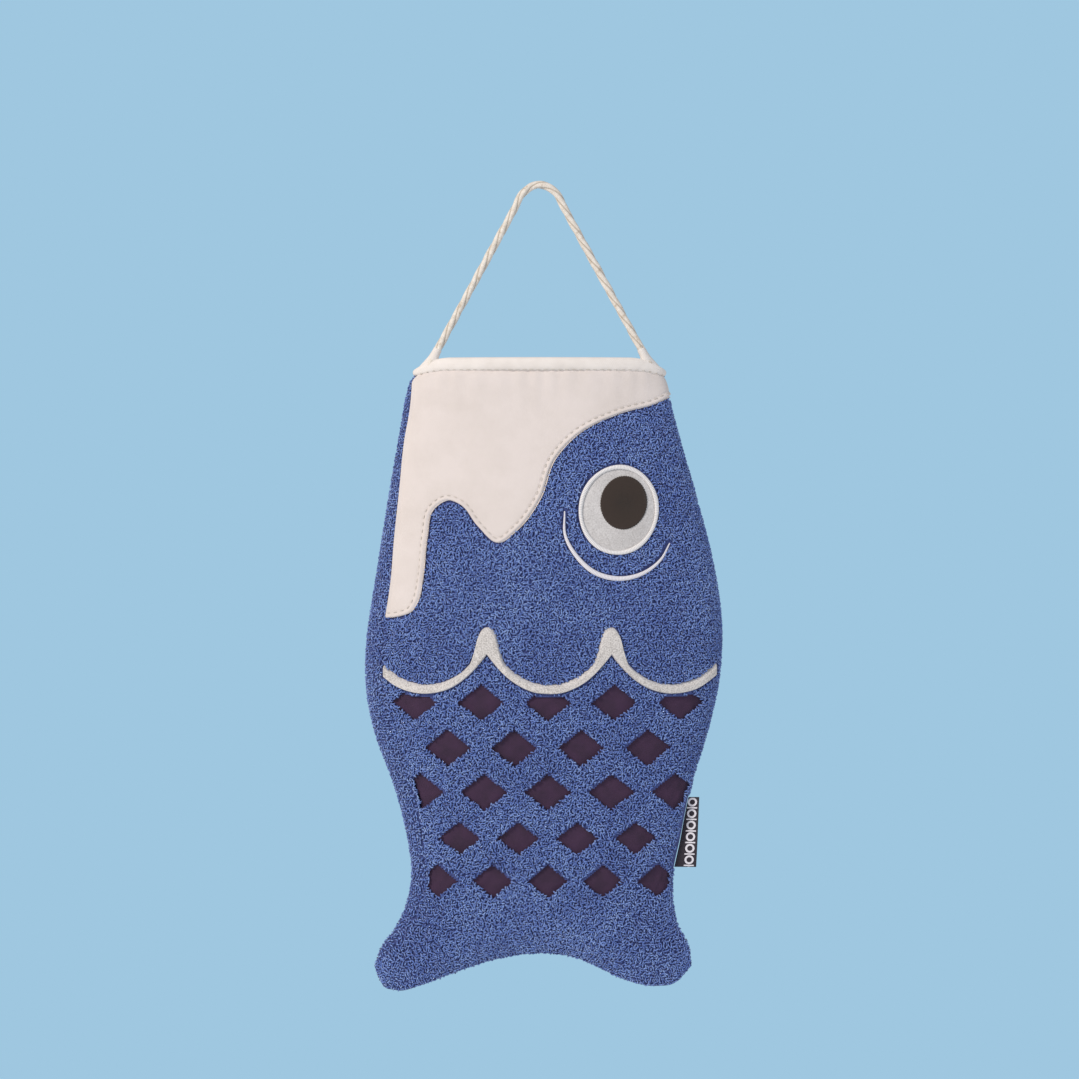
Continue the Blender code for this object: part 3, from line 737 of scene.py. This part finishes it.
def make_scale_cloth(material):
    """The dark cloth behind the windows, a little slack, just under the terry's ground."""
    v = np.linspace(0.5, 0.9, 90)[:, None] + np.zeros((1, 120))
    share = np.linspace(0, 1, 120)[None, :]
    angle = mix(seam_angle(v) + 0.04, math.pi - 0.07, share)
    billow = 0.2 * MM * np.sin(40 * angle) * np.sin(170 * v)
    points = skin(angle, v, ground_depth + 0.7 * MM + billow)
    uv = np.stack([angle * 0.06, -v * body_length], axis=-1)
    piece = new_piece("scale_backing", points, cloth_faces(points), material, uv=uv)
    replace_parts(piece, "scale_cloth")


def head_map(rows, columns, edge):
    """Points of the head panel in the skin's own angle and share of the length.

    Each column runs straight down the cloth from under the hem to its own point of the drip
    edge; the points stand at even steps along that edge.
    """
    run = distances(edge)
    angle, v = place_of(edge[:, 0], edge[:, 1])
    left = seam_angle(v)
    share = (angle - left) / (math.pi - left)
    inside = (share > 1e-6) & (share < 1 - 1e-6)
    run, share, v = run[inside], share[inside], v[inside]
    at = np.linspace(run[0], run[-1], columns)
    low_share = np.maximum.accumulate(np.interp(at, run, share)) + 1e-5 * np.arange(columns)
    low_share[0], low_share[-1] = 0, 1
    w = np.linspace(0, 1, rows)[:, None] ** 0.9
    v = mix(under_hem, np.interp(at, run, v)[None, :], w)
    return mix(seam_angle(v), math.pi, np.minimum(low_share[None, :], 1)), v


def make_head(material, thread, edge):
    """The smooth head panel: soft waves, a shallow stitched channel and a puffed cut edge."""
    angle, v = head_map(180, 430, edge)
    flat = skin(angle, v, 0.3 * MM)
    x, z = flat[..., 0], flat[..., 2]
    seam = skin(seam_angle(v), v, 0.3 * MM)[..., 0]
    away = np.minimum(near_path(x, z, edge), 1.2 * (x - seam))
    rim = np.clip(away / (1.1 * MM), 0, 1)
    roll = 1.6 * MM * (1 - np.sqrt(1 - (1 - rim) ** 2))
    channel = 0.22 * MM * np.exp(-(((away - stitch_inset) / (0.55 * MM)) ** 2))
    puff = 0.3 * MM * np.exp(-(((away - 1.2 * MM) / (0.9 * MM)) ** 2))
    pull = 0.16 * MM * np.exp(-v / 0.03) * np.sin(x / (1.3 * MM) + 1.3 * np.sin(x / (7 * MM)))
    soft = 0.3 * MM * np.sin(x / (11 * MM) + z / (17 * MM)) * np.sin(z / (13 * MM) + 0.7)
    tuck = 2.0 * MM * np.exp(-(v - under_hem) / 0.006)
    points = skin(angle, v, 0.25 * MM + roll + channel - puff + pull + soft + tuck)
    uv = np.stack([x, z], axis=-1)
    piece = new_piece("head_cloth", points, cloth_faces(points), material, uv=uv)
    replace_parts(piece, "head_panel")
    make_ticks(offset_path(edge, stitch_inset), 1.5 * MM, 0.13 * MM, thread)


def offset_path(path, by):
    """A path in the face's plane moved sideways, up for a path that runs to the right."""
    ahead = np.gradient(path, axis=0)
    side = np.stack([-ahead[:, 1], ahead[:, 0]], axis=1)
    return path + by * side / np.linalg.norm(side, axis=1, keepdims=True)


def make_ticks(path, length, radius, material):
    """Running stitches along a path on the face: short arched threads, their ends sunk in."""
    run = distances(path)
    at = np.arange(stitch_pitch / 2, run[-1] - stitch_pitch / 2, stitch_pitch)
    t = np.linspace(-0.5, 0.5, 7)
    where = at[:, None] + t[None, :] * length
    x, z = np.interp(where, run, path[:, 0]), np.interp(where, run, path[:, 1])
    angle, v = place_of(x, z)
    inside = (angle > seam_angle(v) + 0.01).all(axis=1) & (angle < math.pi - 0.05).all(axis=1)
    rise = 0.1 * MM - 0.35 * MM * np.cos(math.pi * t)[None, :] + 0.15 * MM
    points = on_face(x[inside], z[inside], np.broadcast_to(rise, x.shape)[inside])
    normal = outward(angle[inside].mean(axis=1), v[inside].mean(axis=1), 0.0)
    body, faces = tubes(points, radius, 6, normal)
    along = np.broadcast_to(t[None, :, None], body.shape[:-1]) * length
    uv = np.stack([np.zeros(body.shape[:-1]), along], axis=-1)
    piece = new_piece("head_stitches", body, faces, material, uv=uv)
    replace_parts(piece, "head_thread")


def make_hem(material, thread, wire):
    """The hem: a soft roll round the mouth, lower and thinner at its corners.

    Its section is an ellipse whose height follows the place round the mouth. The cloth between
    two stitches bulges, and each stitch bites into the lower edge. The hoop's wire runs inside.
    """
    around, sides = 480, 40
    angle = np.linspace(-math.pi, math.pi, around, endpoint=False)[:, None]
    t = turns(sides)[None, :]
    fall = corner(np.cos(angle))
    run = distances(skin(angle[:, 0], 0 * angle[:, 0], 0))[:, None]
    bite = 0.5 + 0.5 * np.cos(2 * math.pi * run / stitch_pitch)
    pucker = np.sin(run / (1.1 * MM) + 1.7 * np.sin(run / (5 * MM))) * np.clip(-np.sin(t), 0, 1)
    low = np.exp(-(((t - 1.5 * math.pi) / 0.75) ** 2))
    half = hem_half * (1 - 0.13 * bite * low) * (1 - 0.2 * fall) + 0.12 * MM * pucker
    tall, middle = mix(3.0 * MM, 1.55 * MM, fall), mix(2.5 * MM, -0.9 * MM, fall)
    flat = np.sign(np.sin(t)) * np.abs(np.sin(t)) ** 0.9
    depth = hem_depth - half * np.sign(np.cos(t)) * np.abs(np.cos(t)) ** 0.8
    ring = skin(angle + 0 * t, np.zeros((around, sides)), depth)
    ring[..., 2] += shoulder_drop * corner(-np.cos(angle)) + middle + tall * flat
    faces = tube_faces(ring, round_rows=True)
    uv = np.stack([run + 0 * t, t * 2.5 * MM + 0 * run], axis=-1)
    piece = new_piece("hem_roll", ring, faces, material, uv=uv)
    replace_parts(piece, "mouth_hem")
    make_hoop(ring, wire)
    make_hem_stitches(run[:, 0], angle[:, 0], thread)


def make_hoop(ring, wire):
    """The hoop's round wire, along the middle of the hem's rings of points."""
    middle = ring.mean(axis=1)
    out = ring[:, 0] - middle
    out /= np.linalg.norm(out, axis=1, keepdims=True)
    t = turns(12)[None, :, None]
    round_it = np.cos(t) * out[:, None] + np.sin(t) * np.array([0, 0, 1.0])
    hoop = middle[:, None] + hoop_radius * round_it
    piece = new_piece("hoop_wire", hoop, tube_faces(hoop, middle, True), wire)
    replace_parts(piece, "mouth_hoop")


def make_hem_stitches(run, angle, thread):
    """The short stitches under the hem, from the distance round the mouth at each angle."""
    count = round(float(run[-1]) / stitch_pitch)
    middle = np.interp((np.arange(count) + 0.5) * stitch_pitch, run, angle)
    t = np.linspace(-0.5, 0.5, 7)
    angle = middle[:, None] + t[None, :] * 0.5 * stitch_pitch / (mouth_half * 0.75)
    sunk = 0.25 * MM - 0.22 * MM * np.cos(math.pi * t)[None, :]
    line = skin(angle, np.zeros_like(angle), sunk + 0 * angle)
    line[..., 2] += 0.1 * MM - 0.6 * MM * corner(np.cos(angle))
    normal = outward(middle, np.zeros(len(middle)), 0.0)
    body, faces = tubes(line, 0.16 * MM, 6, normal)
    uv = np.zeros((*body.shape[:-1], 2))
    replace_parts(new_piece("hem_stitches", body, faces, thread, uv=uv), "hem_thread")


def disc(centre, half, rings, around, radius_of, depth_of):
    """Round cloth on the face, as points, faces and cloth coordinates.

    Its rings of points run from the middle out. Each is an ellipse whose size and depth follow
    the share of the radius and the angle.
    """
    r, turn = np.linspace(0, 1, rings)[:, None], turns(around)[None, :]
    reach = r * radius_of(r, turn)
    x, z = half[0] * reach * np.cos(turn), half[1] * reach * np.sin(turn)
    points = on_eye(centre, x, z, depth_of(r, turn))
    uv = np.stack([turn / (2 * math.pi) + 0 * r, r + 0 * turn], axis=-1)
    return points, cloth_faces(points, True), uv


def make_eye(white, rim_thread, dark):
    """Eye: a flat white cloth, a raised satin-stitched rim, and a pupil of dark thread."""

    def plain(r, turn):
        return 1 + 0 * r * turn

    def ragged(r, turn):
        teeth = 0.5 - np.abs((turn * 64 / (2 * math.pi)) % 1 - 0.5)
        return 1 + (r > 0.9) * (0.06 * teeth - 0.01)

    def pillow(r, turn):
        return 0.15 * MM + 0.6 * MM * r**6 + 0.08 * MM * np.sin(5 * turn) * r

    def domed(r, turn):
        return -0.45 * MM + 0.1 * MM * r**2 + 1.3 * MM * np.clip((r - 0.96) / 0.04, 0, 1)

    half = (eye_half[0] * 0.94, eye_half[1] * 0.94)
    points, faces, uv = disc(eye_centre, half, 40, 150, plain, pillow)
    uv[..., 0] = 0
    cloth = new_piece("eye_cloth", points, faces, white, uv=uv)
    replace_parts(cloth, "eye_white")
    points, faces, uv = disc(pupil_centre, pupil_half, 36, 320, ragged, domed)
    pupil = new_piece("eye_pupil_stitched", points, faces, dark, uv=uv)
    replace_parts(pupil, "eye_pupil")
    turn, t = turns(360)[:, None], turns(14)[None, :]
    reach = 0.945 + (0.05 + 0.004 * np.sin(turn * 5)) * np.cos(t)
    x, z = eye_half[0] * reach * np.cos(turn), eye_half[1] * reach * np.sin(turn)
    points = on_eye(eye_centre, x, z, 0.3 * MM - 0.65 * MM * np.sin(t) + 0 * turn)
    faces = tube_faces(points, round_rows=True)
    uv = np.stack([turn + 0 * t, t + 0 * turn], axis=-1)
    new_piece("eye_rim", points, faces, rim_thread, uv=uv)


def make_smile(path, material):
    """Satin-stitched smile: a low rounded ridge along a path on the face, thinner at its ends."""
    half_wide, tall, base, end_size = 1.1 * MM, 0.8 * MM, 0.5 * MM, 0.25
    ahead = np.gradient(path, axis=0)
    side = np.stack([ahead[:, 1], -ahead[:, 0]], axis=1) / np.linalg.norm(ahead, axis=1)[:, None]
    share = np.linspace(0, 1, len(path))
    size = (end_size + (1 - end_size) * np.sin(math.pi * share))[:, None]
    t = turns(12)[None, :]
    off = half_wide * size * np.cos(t)
    x, z = path[:, :1] + off * side[:, :1], path[:, 1:] + off * side[:, 1:]
    points = on_face(x, z, base - tall * size * np.sin(t))
    run = distances(path)[:, None]
    uv = np.stack([run + 0 * t, t + 0 * run], axis=-1)
    line = new_piece("smile_stitched", points, tube_faces(points), material, uv=uv)
    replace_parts(line, "smile_line")


def make_gill_band(material):
    """Gill band: a felt-like strip with rounded edges, from its lower scallops to its peaks."""
    x = np.linspace(*gill_ends(), 620)[None, :]
    w = np.linspace(0, 1, 26)[:, None]
    lower, upper = gill_edges(x)
    z = mix(lower, upper, w)
    edge = np.minimum(np.minimum(z - lower, upper - z), np.minimum(x - x[0, 0], x[0, -1] - x))
    rim = np.clip(edge / (1.0 * MM), 0, 1)
    ripple = 0.08 * MM * np.sin(x / (1.9 * MM))
    depth = 1.5 * MM * (1 - np.sqrt(1 - (1 - rim) ** 2)) - 0.35 * MM * rim + ripple
    angle, v = place_of(x + 0 * z, z)
    angle = np.maximum(angle, seam_angle(v))
    points = skin(angle, v, depth)
    uv = np.stack([x + 0 * z, z], axis=-1)
    piece = new_piece("gill_strip", points, cloth_faces(points), material, uv=uv)
    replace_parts(piece, "gill_band")


def cord_route():
    """The loop's route from the left hem exit over the peg to the right one, in metres."""
    reach = math.hypot(cord_exit, hem_top)
    lean = math.atan2(cord_exit, -hem_top) - math.asin(peg_wrap_radius / reach)
    foot = (cord_exit + cord_foot * math.tan(lean), hem_top - cord_foot)
    meet = (peg_wrap_radius * math.cos(lean), peg_wrap_radius * math.sin(lean))
    shares = (0.1, 0.35, 0.65, 0.9)
    leg = [(mix(foot[0], meet[0], s), 0, mix(foot[1], meet[1], s)) for s in shares]
    wrap = [(peg_wrap_radius * math.sin(t), 0, peg_wrap_radius * math.cos(t)) for t in (0.9, 0.45)]
    right = [(foot[0], cord_foot_back, foot[1])] + leg + wrap
    route = [(-x, y, z) for x, y, z in right] + [(0, 0, peg_wrap_radius)] + right[::-1]
    return smooth_path(route, 0.5 * MM)


def make_cord(material):
    """Three cotton strands twisted together: a three-lobed section turned along the route."""
    path = cord_route()
    run = distances(path)[:, None]
    ahead = np.gradient(path, axis=0)
    ahead /= np.linalg.norm(ahead, axis=1, keepdims=True)
    depth_way = np.array([0, 1.0, 0])
    side = np.cross(ahead, depth_way)
    t = turns(30)[None, :]
    lobe = np.abs(np.cos(1.5 * (t - 2 * math.pi * run / (3 * cord_lay))))
    thick = cord_radius * (1 + 0.03 * np.sin(run / (7 * MM)) + 0.02 * np.sin(run / (1.7 * MM)))
    thick[[0, -1]] = 0.02 * cord_radius
    radius = thick * (0.72 + 0.28 * lobe**0.6)
    ring = np.cos(t)[..., None] * side[:, None, :] + np.sin(t)[..., None] * depth_way
    points = path[:, None, :] + radius[..., None] * ring
    faces = tube_faces(points, path)
    uv = np.stack([t * 1.4 * MM + 0 * run, run + 0 * t], axis=-1)
    # Painted shade for the grooves where the strands meet, which the cord's material reads.
    groove_shade_values = {"groove_shade": np.clip(1 - lobe * 2.2, 0, 1)}
    piece = new_piece("twisted_cord", points, faces, material, None, uv, groove_shade_values)
    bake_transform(piece)
    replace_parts(piece, "hanging_cord", "cord_end_left", "cord_end_right")


def make_sleeves(material):
    """Hem cloth drawn up round each end of the cord, as a short sleeve.

    A closed tube round the cord, wide at its foot and narrowing upwards by an exponential. Its
    flared foot droops and turns back on the outer side, to follow the curved and sloping hem.
    """
    path = cord_route()
    rows, sides = 40, 36
    s = np.linspace(0.2 * MM, sleeve_height, rows)
    run = distances(path)
    t = turns(sides)[None, :]
    above = (s - cord_foot)[:, None]
    drawn = sleeve_flare * np.exp(-above / (1.3 * MM))
    flare = np.minimum(np.where(above > 0, drawn, sleeve_flare - 0.9 * above), most_flare)
    wide = cord_radius + sleeve_cloth + flare
    thick = cord_radius + sleeve_cloth + 0.25 * np.minimum(above, 0)
    for half in (wide, thick):
        half[[0, -1]] = 0.1 * MM
        half[-2] = half[-3] - 0.1 * MM
    points, faces = [], []
    for way in (1, -1):
        line = path[::way]
        centre = np.stack([np.interp(s, run, line[:, k]) for k in range(3)], axis=1)
        ahead = centre[-1] - centre[0]
        side = np.cross(ahead / np.linalg.norm(ahead), [0, 1.0, 0])
        ring = centre[:, None] + (wide * np.cos(t))[..., None] * side
        ring[..., 1] += thick * np.sin(t)
        outer = np.cos(t) * np.sign((side * [centre[0, 0], 0, 0]).sum())
        ring[..., 2] -= flare * np.where(outer > 0, 1.0, 0.4) * outer
        ring[..., 1] += flare * 0.55 * np.maximum(outer, 0)
        faces.append(tube_faces(ring, centre) + len(points) * rows * sides)
        points.append(ring)
    points, faces = np.stack(points), np.concatenate(faces)
    uv = np.stack([points[..., 0], points[..., 2]], axis=-1)
    new_piece("cord_sleeves", points, faces, material, uv=uv)


def make_label(material):
    """The side label: a ribbon folded in two, standing out of the seam and curling to the front."""
    low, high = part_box("side_label")
    w, t = np.linspace(0, 1, 60)[:, None], turns(28)[None, :]
    z = mix(high[2], low[2] + 0.9 * MM, w)
    v = (panel_top - z) / body_length
    root = centre_line(v) + half_width(v) - label_root
    reach = mix(*label_edge, w) - root
    out = 0.5 + 0.5 * np.cos(t)
    layer = np.clip(np.abs(np.sin(t)) ** 0.3, 0, 1) * np.sign(np.sin(t)) * 0.3 * MM
    curl = -1.6 * MM * out**2 * np.sin(2.6 * w + 0.2) + 0.5 * MM * np.sin(6 * w)
    x = root + out * reach + 0 * z
    y = seam_plane + layer + curl
    points = np.stack([x, y + 0 * x, z + 0 * x], axis=-1)
    faces = tube_faces(points)
    uv = np.stack([x - mix(*label_middle, w), w * (high[2] - low[2]) + 0 * t], axis=-1)
    piece = new_piece("folded_label", points, faces, material, "label", uv)
    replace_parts(piece, "side_label")


# ---------------------------------------------------------------- room


def aim(thing, at):
    thing.rotation_euler = (Vector(at) - thing.location).to_track_quat("-Z", "Y").to_euler()


def area_light(name, place, at, size, power, colour):
    lamp = bpy.data.lights.new(name, "AREA")
    lamp.shape = "DISK"
    lamp.size = size
    lamp.energy = power
    lamp.color = linear(colour)[:3]
    made = bpy.data.objects.new(name, lamp)
    bpy.context.scene.collection.objects.link(made)
    made.location = place
    aim(made, at)


def make_room():
    """A pale floor, a plain pale surround and soft studio light from the upper left."""
    scene = bpy.context.scene
    scene.view_settings.view_transform = "Standard"
    middle = (0, seam_plane, -0.1467)
    camera = bpy.data.cameras.new("camera")
    camera.lens = 100
    camera.sensor_width = 36
    made = bpy.data.objects.new("camera", camera)
    scene.collection.objects.link(made)
    made.location = (0, seam_plane - 1.3188, middle[2])
    made.rotation_euler = (math.pi / 2, 0, 0)
    scene.camera = made
    floor_half = 0.9
    corners = np.array([(-1, -1), (1, -1), (1, 1), (-1, 1)]) * floor_half
    mesh = bpy.data.meshes.new("floor")
    mesh.from_pydata([(x, y - 0.62, -0.47) for x, y in corners], [], [(0, 1, 2, 3)])
    floor = bpy.data.objects.new("floor", mesh)
    scene.collection.objects.link(floor)
    paint, _, shader = start("pale_floor", 0.8)
    shader.inputs["Base Color"].default_value = linear("#E9EDF0")
    mesh.materials.append(paint)
    world = bpy.data.worlds.new("surround")
    scene.world = world
    world.use_nodes = True
    tree = world.node_tree
    back = tree.nodes["Background"]
    seen = add(tree, "LightPath").outputs["Is Camera Ray"]
    colours = {0: seen, 6: linear("#DADDE2"), 7: linear("#9FC7E0")}
    tree.links.new(add(tree, "Mix", colours, data_type="RGBA").outputs[2], back.inputs["Color"])
    tree.links.new(calc(tree, "MULTIPLY_ADD", seen, 0.45, 0.55), back.inputs["Strength"])
    area_light("key", (-1.3, -1.2, 0.75), middle, 0.5, 27, "#FFF6EE")
    area_light("fill", (1.3, -1.2, 0.1), middle, 1.2, 7, "#EAF2FF")


def main():
    edge, smile = drip_edge(), smile_path()
    yarn = terry_yarn()
    # The ground cloth is a real cloth, but its blue is darker than the yarn's: painted shade in the
    # gaps between the loops.
    ground = woven("terry_ground_cloth", "#46548F", "#2B3466", 1.1)
    white = brushed_cotton("brushed_white_cotton", "#DED4CF", "#D7CDC7")
    hem_white = woven("hem_cotton", "#ECE5DF", "#DED6CF", 0.9, depth=0.00008)
    eye_white = brushed_cotton("eye_cotton", "#D3D0CF", "#ACA8A6", 0.6)
    felt = brushed_cotton("gill_felt", "#DDD8D4", "#9C9793", 0.75)
    aubergine = woven("aubergine_plain_weave", "#3C233F", "#2B192F", 0.8, sheen=0.05)
    tick = satin_thread("stitch_thread", "#C8C1B6", "#ADA69A", 1200)
    rim = satin_thread("eye_rim_thread", "#F2EFED", "#C9C5C6", 26)
    smile_thread = satin_thread("smile_thread", "#F0EDF0", "#C4C0CA", 1600)
    brown = satin_thread("pupil_thread", "#36281F", "#291E17", 110, 0.85)
    make_cord(rope_cotton())
    make_sleeves(hem_white)
    make_terry(yarn, ground, edge, smile)
    make_scale_cloth(aubergine)
    make_head(white, tick, edge)
    make_hem(hem_white, tick, spring_steel())
    make_eye(eye_white, rim, brown)
    make_smile(smile, smile_thread)
    make_gill_band(felt)
    make_label(label_weave())
    make_room()


main()
